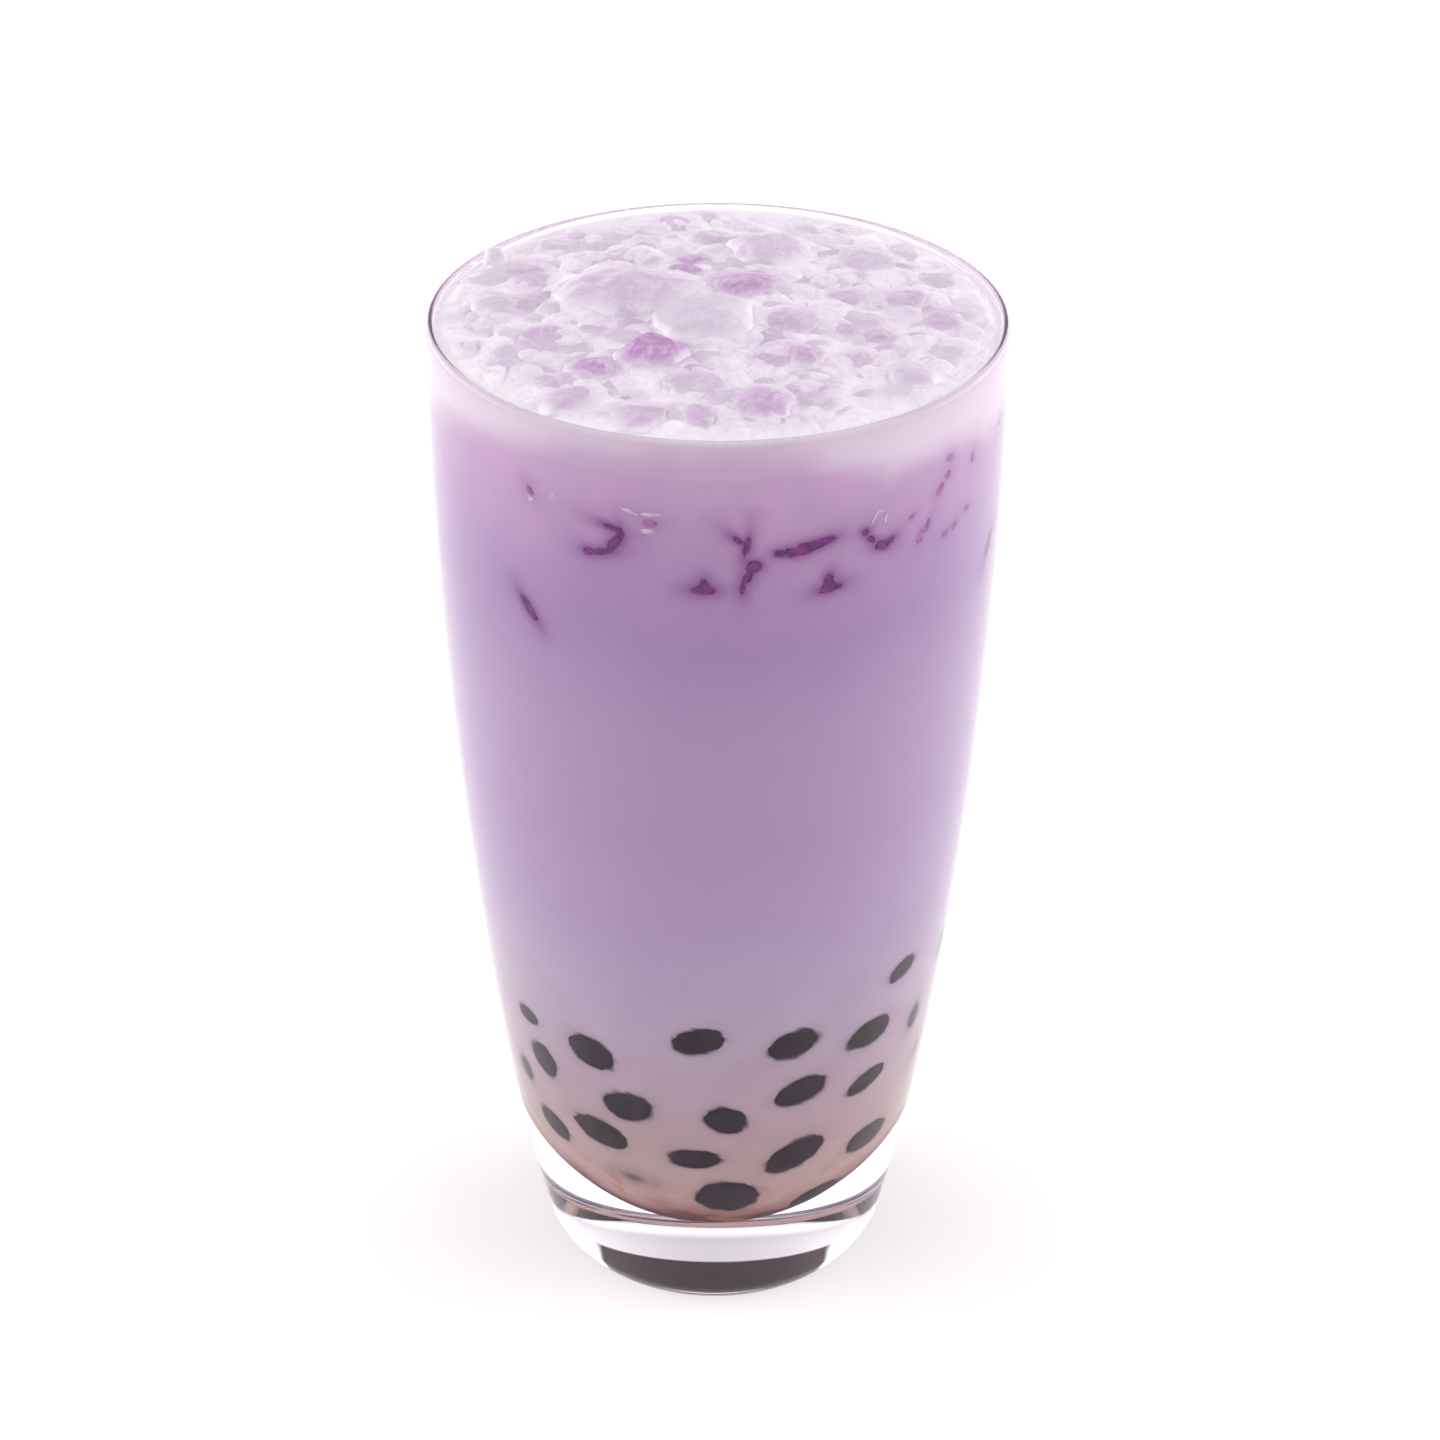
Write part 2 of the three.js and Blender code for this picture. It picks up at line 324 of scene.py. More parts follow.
def ball(name, subdivisions):
    """One round ball at the origin, the start of every pearl, splinter and lump of ice."""
    bpy.ops.object.select_all(action="DESELECT")
    bpy.ops.mesh.primitive_ico_sphere_add(subdivisions=subdivisions, radius=1)
    piece = bpy.context.object
    piece.name = name
    bpy.ops.object.shade_smooth()
    return piece


def coords_of(mesh):
    flat = np.empty(len(mesh.vertices) * 3, dtype=np.float32)
    mesh.vertices.foreach_get("co", flat)
    return flat.reshape(-1, 3).astype(float)


def copy_with(start, coords):
    """A copy of the start piece with its own mesh, whose points are moved to coords."""
    copy = start.copy()
    copy.data = start.data.copy()
    copy.data.vertices.foreach_set("co", coords.astype(np.float32).ravel())
    copy.data.update()
    bpy.context.collection.objects.link(copy)
    return copy


def joined(name, parts):
    bpy.ops.object.select_all(action="DESELECT")
    for part in parts:
        part.select_set(True)
    bpy.context.view_layer.objects.active = parts[0]
    bpy.ops.object.join()
    piece = bpy.context.object
    piece.name = piece.data.name = name
    return piece


def noise_at(coords, size, seed):
    """Smooth noise from -1 to 1 at each point, with lumps of about the given size."""
    shift = Vector((seed * 7.1, seed * 3.7, seed * 1.9))
    return np.array([noise.noise(Vector(c) / size + shift) for c in coords])


round_ball = ball("round_ball", 4)
round_coords = coords_of(round_ball.data)
pearl_shapes = []
pearl_parts = []
for i, (degrees, height, length, width, turn, hidden) in enumerate(pearls):
    place_on_wall, sideways, up, outward = wall_place(degrees, height)
    a, b = length / 2 / PRESSED_SHARE, width / 2 / PRESSED_SHARE
    c = min(PEARL_THICKEST, max(PEARL_THINNEST, (a + b) / 2))
    depth = c * math.sqrt(1 - PRESSED_SHARE**2) + hidden * 2
    long_way, short_way = turned(sideways, up, turn)
    pearl_shapes.append((place_on_wall, long_way, short_way, a, b, c, depth))
    lumps = sum(much * noise_at(round_coords, size, i + seed) for much, size, seed in PEARL_LUMPS)
    lumpy = round_coords * (1 + lumps)[:, None]
    axes = np.array([long_way * a, short_way * b, outward * c])
    coords = lumpy @ axes + np.array(place_on_wall - outward * depth)
    pearl_parts.append(copy_with(round_ball, pressed_to_wall(coords, PEARL_STANDS_IN_WALL)))
tapioca = joined("tapioca_pearls", pearl_parts)

dark_tapioca, tree, shader = new_material("dark_tapioca", (0.010, 0.003, 0.009), 0.35)
shader.inputs["Specular IOR Level"].default_value = 0.06
mottle(tree, 420, 4, [(0.4, (0.005, 0.001, 0.005)), (0.75, (0.026, 0.010, 0.017))])
tapioca.data.materials.append(dark_tapioca)
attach(tapioca, "root")

# Ice splinters: chips of crushed ice caught between the drink and the upper wall. Clear ice shows
# the dark drink behind it, so most read as dark or plum streaks, and a few frosted ones as white.
# The lists give degrees round, height, length, width and turn. Each is a ball drawn out flat.
DARK_SPLINTERS = [
    (-25.3, 0.1377, 0.0016, 0.0011, 0), (-22.3, 0.1381, 0.0030, 0.0010, 12),
    (-19.8, 0.1397, 0.0028, 0.0014, 50), (-18.6, 0.1412, 0.0020, 0.0010, 100),
    (-20.6, 0.1419, 0.0024, 0.0008, 165), (-40.3, 0.1261, 0.0042, 0.0014, -53),
    (-2.5, 0.1339, 0.0030, 0.0014, 0), (-2.4, 0.1347, 0.0018, 0.0013, 90),
    (22.6, 0.1328, 0.0032, 0.0014, 8), (22.1, 0.1338, 0.0024, 0.0014, 75),
    (4.0, 0.1413, 0.0018, 0.0007, -40), (5.7, 0.1402, 0.0030, 0.0008, -100),
    (7.1, 0.1373, 0.0022, 0.0018, 20), (6.0, 0.1357, 0.0022, 0.0012, 60),
    (5.0, 0.1341, 0.0016, 0.0008, 90), (14.3, 0.1390, 0.0018, 0.0013, -30),
    (16.8, 0.1392, 0.0034, 0.0018, 10), (19.5, 0.1396, 0.0030, 0.0015, 15),
    (21.6, 0.1400, 0.0024, 0.0011, 10), (12.2, 0.1390, 0.0016, 0.0011, 0),
    (29.8, 0.1400, 0.0012, 0.0010, 0), (31.2, 0.1387, 0.0016, 0.0009, -40),
    (33.7, 0.1374, 0.0026, 0.0014, -15), (35.7, 0.1377, 0.0016, 0.0010, 30),
]
PLUM_SPLINTERS = [
    (43.4, 0.1365, 0.0022, 0.0011, 70), (45.3, 0.1377, 0.0022, 0.0009, 60),
    (40.9, 0.1400, 0.0012, 0.0007, 20), (51.0, 0.1350, 0.0014, 0.0010, 20),
    (54.0, 0.1355, 0.0014, 0.0010, 40), (58.1, 0.1368, 0.0012, 0.0009, 0),
    (48.5, 0.1423, 0.0020, 0.0011, 60), (50.8, 0.1439, 0.0014, 0.0011, 55),
    (51.2, 0.1463, 0.0014, 0.0011, 0), (59.5, 0.1441, 0.0016, 0.0009, 90),
    (-38.5, 0.1442, 0.0016, 0.0009, -50), (-12.6, 0.1433, 0.0018, 0.0010, 0),
]
PALE_SPLINTERS = [
    (-16.6, 0.1447, 0.0028, 0.0007, -20), (-12.4, 0.1446, 0.0030, 0.0007, 0),
    (-13.3, 0.1421, 0.0020, 0.0008, 0), (-38.5, 0.1430, 0.0012, 0.0009, 0),
    (-33.0, 0.1446, 0.0010, 0.0008, 0), (31.6, 0.1417, 0.0020, 0.0004, 60),
    (34.4, 0.1415, 0.0020, 0.0004, 80), (33.3, 0.1425, 0.0016, 0.0004, 0),
]
SPLINTER_DEPTH = 0.0006
SPLINTER_LENGTHEN, SPLINTER_WIDEN = 0.9, 0.95
RAGGED, RAGGED_SIZE = 0.45, 0.5
# the same marks again at the back: degrees further round, and higher by
TURNS_BEHIND = [(112, 0.0010), (205, -0.0030)]


def splinters(name, marks):
    parts = []
    for i, (degrees, height, length, width, turn) in enumerate(marks):
        place_on_wall, sideways, up, outward = wall_place(degrees, height)
        long_way, short_way = turned(sideways, up, turn)
        ragged = chip_coords * (1 + RAGGED * noise_at(chip_coords, RAGGED_SIZE, i))[:, None]
        axes = [long_way * length * SPLINTER_LENGTHEN / 2, short_way * width * SPLINTER_WIDEN / 2]
        axes = np.array(axes + [outward * SPLINTER_DEPTH])
        coords = ragged @ axes + np.array(place_on_wall)
        parts.append(copy_with(chip_ball, pressed_to_wall(coords, PEARL_STANDS_IN_WALL)))
    return joined(name, parts)


chip_ball = ball("chip_ball", 3)
chip_coords = coords_of(chip_ball.data)


def all_round(marks):
    """The marks in front, and the same again at the back, leaning the other way."""
    behind = []
    for around, rise in TURNS_BEHIND:
        behind += [(d + around, h + rise, l, w, -t) for d, h, l, w, t in marks]
    return marks + behind


dark_marks, plum_marks = all_round(DARK_SPLINTERS), all_round(PLUM_SPLINTERS)
pale_marks = all_round(PALE_SPLINTERS)
dark_ice = splinters("dark_splinters", dark_marks)
plum_ice = splinters("plum_splinters", plum_marks)
pale_ice = splinters("pale_splinters", pale_marks)

for piece, colour, deep in (
    (dark_ice, (0.13, 0.014, 0.14), (0.05, 0.005, 0.07)),
    (plum_ice, (0.30, 0.10, 0.31), (0.21, 0.055, 0.235)),
    (pale_ice, (0.46, 0.36, 0.47), (0.36, 0.26, 0.38)),
):
    splinter_ice, tree, shader = new_material(piece.name + "_ice", colour, 0.2)
    shader.inputs["Specular IOR Level"].default_value = 0.2
    mottle(tree, 700, 2, [(0.35, deep), (0.65, colour)])
    piece.data.materials.append(splinter_ice)
    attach(piece, "root")

# Taro milk tea: opaque lilac milk, warmer and browner towards the syrup, spun from the bowl's
# curve a hair into the wall. Fine rings carry the soft shadows of what sits under its surface.
FROTH_BOTTOM = 0.1499
MILK_RING = 0.0005
PEARL_ZONE_TOP = 0.067
ICE_ZONE_BOTTOM = 0.119
MIDDLE_RINGS = 20


def fine_rings(start, end):
    return steps_between(start, end, round((end - start) / MILK_RING))


milk_heights = [SYRUP_TOP] + fine_rings(SYRUP_TOP, PEARL_ZONE_TOP)
milk_heights += steps_between(PEARL_ZONE_TOP, ICE_ZONE_BOTTOM, MIDDLE_RINGS)
milk_heights += fine_rings(ICE_ZONE_BOTTOM, FROTH_BOTTOM)
milk_section = [(0, SYRUP_TOP)]
milk_section += [(bowl_radius(h) + WALL_OVERLAP, h) for h in milk_heights]
milk_section.append((0, FROTH_BOTTOM))
milk = spun("taro_milk", milk_section, DRINK_SEGMENTS)


def set_shade(piece, name, values):
    """Stores one number a point on the mesh, which the material reads as an attribute."""
    layer = piece.data.attributes.new(name=name, type="FLOAT", domain="POINT")
    layer.data.foreach_set("value", np.asarray(values, dtype=np.float32))


def smooth_step(values):
    values = np.clip(values, 0, 1)
    return values * values * (3 - 2 * values)


# the dark over a pearl fades with the milk before it; faint painted shade spreads past its edge
SHADE_FADE = 0.00055
SPREAD_SHADE_FADE = 0.0014
SPREAD_SHADE_SHARE = 0.22
SHADE_ROUGH, SHADE_ROUGH_SIZE = 0.16, 0.0014
PEARL_REACH = 0.013


def pearl_shade(coords):
    """How dark the milk looks at each point, from the pearls that lie close under it."""
    shade = np.zeros(len(coords))
    rough = 1 + SHADE_ROUGH * noise_at(coords, SHADE_ROUGH_SIZE, 8)
    for centre, long_way, short_way, a, b, c, depth in pearl_shapes:
        away = coords - np.array(centre)
        near = np.linalg.norm(away, axis=1) < PEARL_REACH
        along = away[near] @ np.array(long_way)
        across = away[near] @ np.array(short_way)
        out = np.sqrt((along / a) ** 2 + (across / b) ** 2) * rough[near]
        gap = np.maximum(0, depth - c * np.sqrt(np.maximum(0, 1 - np.minimum(out, 1) ** 2)))
        edge = np.exp(-gap / SHADE_FADE)
        # painted shade: a faint dark spread round the pearl, past the patch that touches
        past = np.maximum(0, out - PRESSED_SHARE) * (a + b) / 2
        spread_shade = SPREAD_SHADE_SHARE * np.exp(-past / SPREAD_SHADE_FADE)
        shade[near] = 1 - (1 - shade[near]) * (1 - np.maximum(edge, spread_shade))
    return shade


# painted plum shade round the splinters: how fast it fades, and how strong round plum splinters
SPLINTER_SHADE_FADE = 0.0008
PLUM_SPLINTER_SHADE = 0.38
SPLINTER_REACH = 0.006


def splinter_shade(coords):
    """Painted plum shade round each dark splinter, and a faint one round each plum splinter."""
    shade = np.zeros(len(coords))
    marks = [(1.0, *mark) for mark in dark_marks] + [(PLUM_SPLINTER_SHADE, *mark) for mark in plum_marks]
    for strength, degrees, height, length, width, turn in marks:
        centre, sideways, up, outward = wall_place(degrees, height)
        away = coords - np.array(centre)
        near = np.linalg.norm(away, axis=1) < SPLINTER_REACH
        long_way, short_way = turned(sideways, up, turn)
        along, across = away[near] @ np.array(long_way), away[near] @ np.array(short_way)
        out = np.sqrt((along / (length / 2)) ** 2 + (across / (width / 2)) ** 2)
        past = np.maximum(0, out - 1.0) * width / 2
        shade[near] = np.maximum(shade[near], strength * np.exp(-past / SPLINTER_SHADE_FADE))
    return shade


# how low the froth reaches down the wall, by degrees round from the front
FROTH_REACH = [
    (-70, 0.1478), (-46, 0.1510), (-31, 0.1524), (-16, 0.1536), (-3, 0.1540), (8, 0.1538),
    (18, 0.1520), (28, 0.1496), (35, 0.1474), (48, 0.1480), (64, 0.1462), (90, 0.1473),
    (125, 0.1449), (150, 0.1506), (180, 0.1476), (215, 0.1516), (245, 0.1461), (290, 0.1478),
]
FROTH_REACH_SOFT = 0.0034
# its small waves: height, size, seed
FROTH_REACH_WAVES = [(0.0013, 0.007, 3), (0.0006, 0.0026, 4)]


def froth_veil(coords):
    """How much froth lies against the wall at each point, under the rim's wavy pale band."""
    first = FROTH_REACH[0][0]
    degrees = np.degrees(np.arctan2(coords[:, 0], -coords[:, 1]))
    degrees = (degrees - first) % 360 + first
    reach = np.interp(degrees, [d for d, h in FROTH_REACH], [h for d, h in FROTH_REACH])
    reach += sum(much * noise_at(coords, size, seed) for much, size, seed in FROTH_REACH_WAVES)
    return smooth_step(0.5 + (coords[:, 2] - reach) / (2 * FROTH_REACH_SOFT))


# painted dark line, standing in for the pool that the base shows along the drink's lower edge:
# how far up the wall the pool's dark is painted, by degrees round to either side of the front
POOL_LINE_RISE = [
    (0, 0.0), (44, 0.0008), (61, 0.0022), (76, 0.0034), (88, 0.0052), (98, 0.0040), (112, 0.0012),
    (150, 0.0004), (180, 0.0010),
]
POOL_LINE_ENDS, POOL_LINE_SOFT = 0.034, 0.014


def painted_pool_line(coords):
    """How far up the wall the pool's dark is painted at each point, a painted dark line."""
    degrees = np.abs(np.degrees(np.arctan2(coords[:, 0], -coords[:, 1])))
    climb = np.interp(degrees, [d for d, h in POOL_LINE_RISE], [h for d, h in POOL_LINE_RISE])
    return climb * smooth_step((POOL_LINE_ENDS - coords[:, 2]) / POOL_LINE_SOFT)


def shade_drink(piece):
    coords = coords_of(piece.data)
    set_shade(piece, "painted_pool_line", painted_pool_line(coords))
    set_shade(piece, "pearl_shade", pearl_shade(coords))
    set_shade(piece, "splinter_shade", splinter_shade(coords))
    set_shade(piece, "froth_veil", froth_veil(coords))


shade_drink(milk)

DRINK_FOOT = 0.011
DRINK_TOP = 0.156
DRINK_COLOURS = [
    (0.0118, (0.075, 0.022, 0.023)), (0.0134, (0.120, 0.042, 0.041)),
    (0.0150, (0.300, 0.150, 0.129)), (0.0190, (0.420, 0.268, 0.258)),
    (0.0251, (0.383, 0.270, 0.262)), (0.0341, (0.364, 0.253, 0.275)),
    (0.0441, (0.365, 0.267, 0.322)), (0.0571, (0.353, 0.267, 0.361)),
    (0.0756, (0.309, 0.220, 0.358)), (0.0931, (0.301, 0.204, 0.350)),
    (0.1097, (0.301, 0.204, 0.347)), (0.1256, (0.268, 0.169, 0.322)),
    (0.1331, (0.293, 0.184, 0.344)), (0.1391, (0.326, 0.202, 0.350)),
    (0.1461, (0.365, 0.235, 0.381)), (0.1531, (0.400, 0.273, 0.410)),
]
CARAMEL = (0.36, 0.155, 0.085)
PINK_MILK = (0.46, 0.26, 0.43)
SPLINTER_SHADE_COLOUR = (0.15, 0.03, 0.165)
PEARL_DARK = (0.024, 0.014, 0.030)
FROTH_AT_WALL = (0.53, 0.43, 0.525)


def ranged(tree, value, low, high, to_low, to_high, kind="LINEAR"):
    """Maps a value from one range to another, and holds it there."""
    sockets = {"From Min": low, "From Max": high, "To Min": to_low, "To Max": to_high}
    node = add_node(tree, "MapRange", {"Value": value, **sockets}, interpolation_type=kind)
    return node.outputs["Result"]


def maths(tree, operation, *values, clamp=False):
    node = add_node(tree, "Math", dict(enumerate(values)), operation=operation, use_clamp=clamp)
    return node.outputs[0]


def mixed(tree, factor, under, over):
    sockets = {"Factor": factor, "A": under, "B": over}
    return add_node(tree, "Mix", sockets, data_type="RGBA").outputs["Result"]


def attribute(tree, name):
    return add_node(tree, "Attribute", {}, attribute_name=name).outputs["Fac"]


def drink_colour_group():
    """The drink's colour by height, clouded, with the shades of pearls, splinters and froth."""
    group = bpy.data.node_groups.new("drink_colour", "ShaderNodeTree")
    group.interface.new_socket("Froth", in_out="INPUT", socket_type="NodeSocketColor")
    group.interface.new_socket("Color", in_out="OUTPUT", socket_type="NodeSocketColor")
    given, result = group.nodes.new("NodeGroupInput"), group.nodes.new("NodeGroupOutput")
    place = add_node(group, "TexCoord", {}).outputs["Object"]
    height = add_node(group, "SeparateXYZ", {0: place}).outputs["Z"]

    def clouds(scale, detail, stretch=1.0):
        stretched = add_node(group, "Mapping", {"Vector": place, "Scale": (1, 1, stretch)})
        sockets = {"Vector": stretched.outputs["Vector"], "Scale": scale, "Detail": detail}
        return add_node(group, "TexNoise", sockets).outputs["Fac"]

    def faded(*value_and_range):
        return ranged(group, *value_and_range, kind="SMOOTHSTEP")

    def times(first, second):
        return maths(group, "MULTIPLY", first, second)

    # clouds shift the height that the colour is read at, by a few millimetres either way
    drift = times(maths(group, "SUBTRACT", clouds(34, 3), 0.5), 0.012)
    low_wisps = times(maths(group, "SUBTRACT", clouds(130, 3, 0.35), 0.5), 0.010)
    near_foot = faded(height, 0.013, 0.037, 0.0, 1.0)
    lowest = faded(height, 0.0116, 0.016, 0.0, 1.0)
    shift = maths(group, "ADD", times(drift, near_foot), times(low_wisps, lowest))
    read_at = maths(group, "ADD", height, shift)
    # a painted dark line: the pool's dark colours painted higher up the wall at the sides
    read_at = maths(group, "SUBTRACT", read_at, attribute(group, "painted_pool_line"))
    depth = DRINK_TOP - DRINK_FOOT
    share = maths(group, "DIVIDE", maths(group, "SUBTRACT", read_at, DRINK_FOOT), depth)
    colour = ramp(group, share, [((at - DRINK_FOOT) / depth, tone) for at, tone in DRINK_COLOURS])

    # caramel wisps rise out of the syrup
    wisps = faded(clouds(300, 4, 0.18), 0.56, 0.66, 0.0, 0.75)
    wisps = times(wisps, faded(height, 0.015, 0.031, 1.0, 0.0))
    colour = mixed(group, wisps, colour, CARAMEL)
    # pinker clouds in the icy zone under the rim
    pink = faded(clouds(60, 3), 0.42, 0.68, 0.0, 0.45)
    pink = times(pink, faded(height, 0.131, 0.144, 0.0, 1.0))
    colour = mixed(group, pink, colour, PINK_MILK)
    colour = mixed(group, attribute(group, "froth_veil"), colour, given.outputs["Froth"])
    # painted plum shade round the splinters
    painted_splinter_shade = times(attribute(group, "splinter_shade"), 0.85)
    colour = mixed(group, painted_splinter_shade, colour, SPLINTER_SHADE_COLOUR)
    colour = mixed(group, attribute(group, "pearl_shade"), colour, PEARL_DARK)
    group.links.new(colour, result.inputs["Color"])
    return group


def drink_colour_in(tree):
    """The drink's colour, placed in one of the materials that show it."""
    node = add_node(tree, "Group", {}, node_tree=drink_colour)
    node.inputs["Froth"].default_value = (*FROTH_AT_WALL, 1)
    return node.outputs["Color"]


drink_colour = drink_colour_group()
milk_tea, tree, shader = new_material("lilac_milk_tea", (0.27, 0.17, 0.31), 0.5)
shader.inputs["Specular IOR Level"].default_value = 0.05
tree.links.new(drink_colour_in(tree), shader.inputs["Base Color"])
milk.data.materials.append(milk_tea)
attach(milk, "root")
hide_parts("taro_milk_tea")

# Crushed ice: worn lumps that stand out of the froth, and small bits between them. Each is a ball
# cut by flat chips, drawn out and turned. The list gives place, length, width, turn, how far each
# stands out, and how plum it is from 0 to 1.
CROWNING_ICE = [
    (-0.0124, 0.0048, 0.0196, 0.0150, 6, 0.0034, 0.34),
    (-0.0011, -0.0040, 0.0148, 0.0145, -14, 0.0030, 0.18),
    (-0.0083, -0.0152, 0.0098, 0.0082, 10, 0.0029, 0.95),
    (0.0036, 0.0084, 0.0112, 0.0094, -8, 0.0020, 0.80),
    (0.0076, 0.0202, 0.0116, 0.0112, 20, 0.0024, 0.25),
    (-0.0036, 0.0170, 0.0056, 0.0042, 5, 0.0010, 0.75),
    (-0.0048, 0.0128, 0.0058, 0.0041, -10, 0.0010, 0.70),
    (0.0113, -0.0144, 0.0060, 0.0072, 10, 0.0015, 0.60),
    (0.0057, -0.0285, 0.0088, 0.0096, -14, 0.0018, 0.62),
    (-0.0022, -0.0318, 0.0050, 0.0064, 8, 0.0013, 0.50),
    (-0.0101, -0.0318, 0.0084, 0.0074, 15, 0.0015, 0.42),
    (-0.0193, -0.0270, 0.0088, 0.0072, 25, 0.0014, 0.40),
    (-0.0164, -0.0183, 0.0084, 0.0062, -12, 0.0010, 0.85),
    (0.0217, -0.0081, 0.0054, 0.0054, 0, 0.0011, 0.50),
    (0.0259, 0.0042, 0.0070, 0.0060, 20, 0.0014, 0.55),
    (0.0306, -0.0028, 0.0068, 0.0058, -15, 0.0013, 0.40),
    (0.0252, -0.0195, 0.0074, 0.0078, 30, 0.0015, 0.20),
    (-0.0316, 0.0184, 0.0036, 0.0034, 60, 0.0026, 0.00),
    (-0.0222, 0.0232, 0.0082, 0.0086, 10, 0.0010, 0.25),
    (-0.0063, 0.0302, 0.0070, 0.0078, 0, 0.0009, 0.30),
    (-0.0014, 0.0253, 0.0060, 0.0062, -15, 0.0010, 0.35),
    (0.0205, 0.0186, 0.0108, 0.0102, -25, 0.0013, 0.22),
    (-0.0305, 0.0021, 0.0070, 0.0092, 20, 0.0012, 0.18),
    (-0.0237, -0.0083, 0.0068, 0.0078, -25, 0.0010, 0.45),
    (-0.0165, -0.0071, 0.0058, 0.0062, 10, 0.0009, 0.35),
    (0.0125, -0.0272, 0.0062, 0.0070, 35, 0.0010, 0.30),
    (-0.0028, -0.0240, 0.0090, 0.0074, -10, 0.0014, 0.30),
    (0.0099, -0.0039, 0.0082, 0.0086, 30, 0.0013, 0.45),
    (0.0188, -0.0148, 0.0052, 0.0064, 15, 0.0010, 0.40),
    (-0.0276, -0.0143, 0.0068, 0.0082, 20, 0.0010, 0.22),
    (-0.0261, 0.0105, 0.0066, 0.0070, -20, 0.0010, 0.30),
    (0.0179, 0.0050, 0.0064, 0.0064, 25, 0.0010, 0.42),
    (0.0308, -0.0130, 0.0060, 0.0078, 30, 0.0009, 0.15),
    (0.0310, 0.0130, 0.0070, 0.0070, 0, 0.0009, 0.20),
]
SMALL_ICE_COUNT = 170
SMALL_ICE_REACH = 0.0348
SMALL_ICE_STRAY = 0.0012
SMALL_ICE_LENGTHS, SMALL_ICE_SLIM, SMALL_ICE_RISES = (0.0040, 0.0086), (0.6, 0.95), (0.0003, 0.0009)
SMALL_ICE_PLUM = 0.5
WALL_CLEARANCE = 0.0006
FROTH_EDGE = 0.1549
FROTH_CROWN = 0.0012
TOPMOST = 0.15960
# a lump that stands out further than half its length is a knob: no chips, and a blunt top
KNOB_SHOULDER, KNOB_CROWN = 0.55, 0.0008
LARGE_LUMP, MEDIUM_LUMP = 0.0075, 0.0065
# wear on a ball of radius 1: how much, its size, and a seed
ICE_WEAR = [(0.12, 0.8, 0), (0.09, 0.33, 9)]
CHIPS, CHIP_SHARE = 7, 0.85
CHIP_NEAREST, CHIP_FURTHEST = 0.80, 0.95
SUNK_SHARE, SUNK_LEAST = 0.55, 0.0004
ICE_WIDEN = 1.22
ICE_TILT = 0.12
BARE_RANGE = 0.75


def froth_level(x, y):
    return FROTH_EDGE + FROTH_CROWN * max(0, 1 - (x * x + y * y) / bowl_radius(FROTH_EDGE) ** 2)


def ice_lump(start, start_coords, x, y, length, width, turn, rise, plum, seed):
    """One lump of ice, sunk in the froth so far that it stands out by rise."""
    chips = random.Random(seed)
    worn = sum(much * noise_at(start_coords, size, seed + own) for much, size, own in ICE_WEAR)
    coords = start_coords * (1 + worn)[:, None]
    knob = rise > length / 2
    for i in range(0 if knob else CHIPS):
        facing = Vector([chips.gauss(0, 1) for axis in range(3)]).normalized()
        kept = chips.uniform(CHIP_NEAREST, CHIP_FURTHEST)
        past = np.maximum(0, coords @ np.array(facing) - kept)
        coords -= np.outer(past * CHIP_SHARE, np.array(facing))
    sunk = SUNK_SHARE * rise + SUNK_LEAST
    size = np.array([length / 2, width / 2, rise + sunk]) * np.array([ICE_WIDEN, ICE_WIDEN, 1.0])
    lean = math.radians(turn)
    coords *= size
    level = froth_level(x, y)
    cos, sin = math.cos(lean), math.sin(lean)
    spin = np.array([[cos, sin, 0], [-sin, cos, 0], [0, 0, 1]])
    tilt = np.array(Matrix.Rotation(chips.uniform(-ICE_TILT, ICE_TILT), 3, "X")).T
    coords = coords @ tilt @ spin + np.array([x, y, level - sunk])
    if knob:
        shoulder = level + rise * KNOB_SHOULDER
        above = np.maximum(0, coords[:, 2] - shoulder)
        coords[:, 2] -= above - np.minimum(above, KNOB_CROWN * (1 - np.exp(-above / KNOB_CROWN)))
    coords[:, 2] = np.minimum(coords[:, 2], TOPMOST)
    lump = copy_with(start, coords)
    clear = (coords[:, 2] - level) / rise
    set_shade(lump, "bare", smooth_step((clear + 0.02) / BARE_RANGE))
    set_shade(lump, "plum", np.full(len(coords), plum))
    return lump


small_draw = random.Random(11)
small_ice = []
turn = 0.0
for i in range(SMALL_ICE_COUNT):
    turn += math.pi * (3 - math.sqrt(5))
    reach = SMALL_ICE_REACH * math.sqrt((i + 0.5) / SMALL_ICE_COUNT)
    x = reach * math.cos(turn) + small_draw.uniform(-SMALL_ICE_STRAY, SMALL_ICE_STRAY)
    y = reach * math.sin(turn) + small_draw.uniform(-SMALL_ICE_STRAY, SMALL_ICE_STRAY)
    length = small_draw.uniform(*SMALL_ICE_LENGTHS)
    blocked = any(
        math.hypot(x - big[0], y - big[1]) < (big[2] + big[3]) / 5 for big in CROWNING_ICE
    )
    width = length * small_draw.uniform(*SMALL_ICE_SLIM)
    rise = small_draw.uniform(*SMALL_ICE_RISES)
    lump_turn, plum = small_draw.uniform(0, 180), small_draw.uniform(0.0, SMALL_ICE_PLUM)
    inside = math.hypot(x, y) + length / 2 < bowl_radius(FROTH_EDGE) - WALL_CLEARANCE
    if inside and not blocked:
        small_ice.append((x, y, length, width, lump_turn, rise, plum))

all_ice = CROWNING_ICE + small_ice
start_balls = [ball("large_ball", 5), ball("medium_ball", 4), ball("small_ball", 3)]
start_coords = [coords_of(start.data) for start in start_balls]
ice_parts = []
for i, lump in enumerate(all_ice):
    crowning = i < len(CROWNING_ICE)
    size = 0 if crowning and lump[2] > LARGE_LUMP else 1 if crowning or lump[2] > MEDIUM_LUMP else 2
    ice_parts.append(ice_lump(start_balls[size], start_coords[size], *lump, seed=100 + i))
ice = joined("crushed_ice", ice_parts)
for start in [round_ball, chip_ball] + start_balls:
    bpy.data.objects.remove(start)

